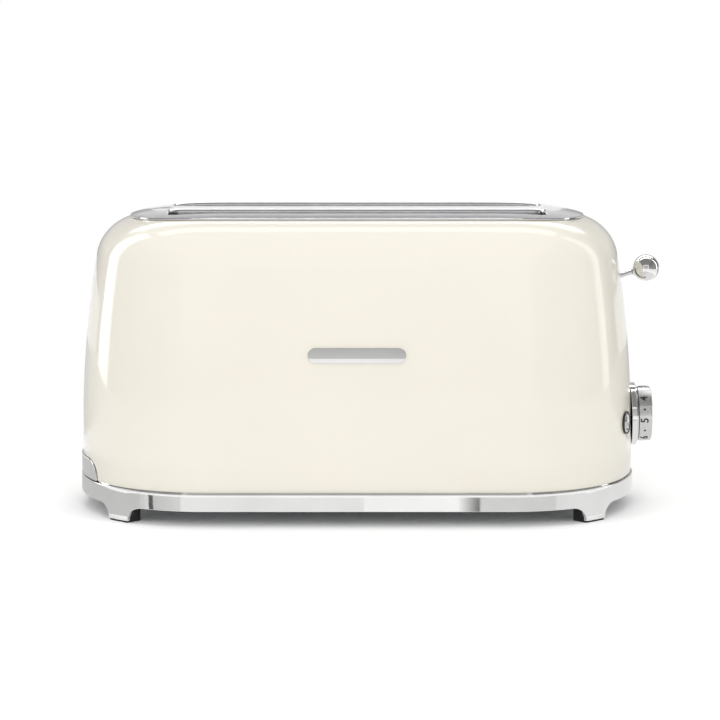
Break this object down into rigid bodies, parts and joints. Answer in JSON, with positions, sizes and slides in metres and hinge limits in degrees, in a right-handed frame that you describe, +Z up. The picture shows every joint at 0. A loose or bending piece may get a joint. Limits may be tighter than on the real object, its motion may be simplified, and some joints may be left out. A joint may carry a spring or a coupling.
{
  "type": "pop up toaster",
  "caption": "Retro long-slot toaster with a domed steel top, cream enamelled shell, footed metal band, ball lever, dial, push buttons and crumb tray",
  "frame": {"origin": "centre of the footprint's bounding box, on the surface the feet stand on", "axes": "+X along the length towards the lever and dial, +Y to the back, +Z up"},
  "size_m": [0.393, 0.202, 0.2013],
  "materials": {
    "cream_enamel": "gloss",
    "polished_steel": "polished",
    "cast_metal": "polished",
    "chrome": "polished",
    "steel": "satin",
    "rubber": "matte",
    "black_plastic": "satin",
    "board": "satin",
    "iron": "satin",
    "copper": "satin",
    "mica": "matte",
    "ribbon": "satin"
  },
  "bodies": {
    "housing": {"body_shell": "cream_enamel", "top_plate": "polished_steel", "base_frame": "cast_metal", "base_plate": "steel", "front_badge": "chrome", "dial_bezel": "chrome", "potentiometer": "steel", "control_board": "board", "button_rim_near": "black_plastic", "button_rim_far": "black_plastic", "tact_switch_near": "black_plastic", "tact_switch_far": "black_plastic", "lever_slot_trim": "black_plastic", "guide_rod": "steel", "lift_spring": "steel", "electromagnet_core": "iron", "electromagnet_coil": "copper", "chassis_wall_left": "steel", "chassis_wall_right": "steel", "tie_bar_upper": "steel", "tie_bar_lower": "steel", "switch_block": "black_plastic", "terminal_block": "black_plastic", "cord_gland": "rubber", "cord_cleat": "black_plastic", "foot_pad_right_front": "rubber", "base_screw_right_front": "steel", "foot_pad_right_rear": "rubber", "base_screw_right_rear": "steel", "foot_pad_left_front": "rubber", "base_screw_left_front": "steel", "foot_pad_left_rear": "rubber", "base_screw_left_rear": "steel", "reflector_front": "steel", "heater_board_front_outer": "mica", "heater_wire_front_outer": "ribbon", "heater_board_front_inner": "mica", "heater_wire_front_inner": "ribbon", "reflector_rear": "steel", "heater_board_rear_outer": "mica", "heater_wire_rear_outer": "ribbon", "heater_board_rear_inner": "mica", "heater_wire_rear_inner": "ribbon"},
    "dial": {"dial_knob": "chrome", "dial_shaft": "steel"},
    "near_button": {"button_near": "chrome"},
    "far_button": {"button_far": "chrome"},
    "carriage": {"carriage_bracket": "steel", "lever_stem": "chrome", "lever_ball": "chrome", "latch_plate": "iron", "bread_rack_front": "steel", "bread_rack_rear": "steel"},
    "tray": {"crumb_tray": "steel", "crumb_tray_front": "chrome"},
    "guide_front_outer": {"bread_guide_front_outer": "steel"},
    "guide_front_inner": {"bread_guide_front_inner": "steel"},
    "guide_rear_outer": {"bread_guide_rear_outer": "steel"},
    "guide_rear_inner": {"bread_guide_rear_inner": "steel"}
  },
  "joints": [
    {"name": "carriage_slide", "type": "slide", "parent": "housing", "child": "carriage", "axis": [0, 0, -1], "range_m": [0, 0.055], "stiffness_N_per_m": 200, "springref_m": -0.04, "deforming": ["lift_spring"]},
    {"name": "dial_turn", "type": "hinge", "parent": "housing", "child": "dial", "pos_m": [0.1783, 0, 0.0602], "axis": [0.9997, 0, 0.0253], "range_deg": [-140.4, 93.6]},
    {"name": "near_button_press", "type": "slide", "parent": "housing", "child": "near_button", "axis": [-0.9416, 0.3358, -0.0253], "range_m": [0, 0.0016], "stiffness_N_per_m": 600, "springref_m": -0.002},
    {"name": "far_button_press", "type": "slide", "parent": "housing", "child": "far_button", "axis": [-0.9416, -0.3358, -0.0253], "range_m": [0, 0.0016], "stiffness_N_per_m": 600, "springref_m": -0.002},
    {"name": "crumb_tray_slide", "type": "slide", "parent": "housing", "child": "tray", "axis": [-1, 0, 0], "range_m": [0, 0.24]},
    {"name": "guide_front_outer_slide", "type": "slide", "parent": "housing", "child": "guide_front_outer", "axis": [0, 1, 0], "range_m": [0, 0.006]},
    {"name": "guide_front_inner_slide", "type": "slide", "parent": "housing", "child": "guide_front_inner", "axis": [0, -1, 0], "range_m": [0, 0.006]},
    {"name": "guide_rear_outer_slide", "type": "slide", "parent": "housing", "child": "guide_rear_outer", "axis": [0, -1, 0], "range_m": [0, 0.006]},
    {"name": "guide_rear_inner_slide", "type": "slide", "parent": "housing", "child": "guide_rear_inner", "axis": [0, 1, 0], "range_m": [0, 0.006]}
  ],
  "couplings": [
    {"joint": "guide_front_outer_slide", "follows": "carriage_slide", "ratio": 0.109},
    {"joint": "guide_front_inner_slide", "follows": "carriage_slide", "ratio": 0.109},
    {"joint": "guide_rear_outer_slide", "follows": "carriage_slide", "ratio": 0.109},
    {"joint": "guide_rear_inner_slide", "follows": "carriage_slide", "ratio": 0.109}
  ]
}
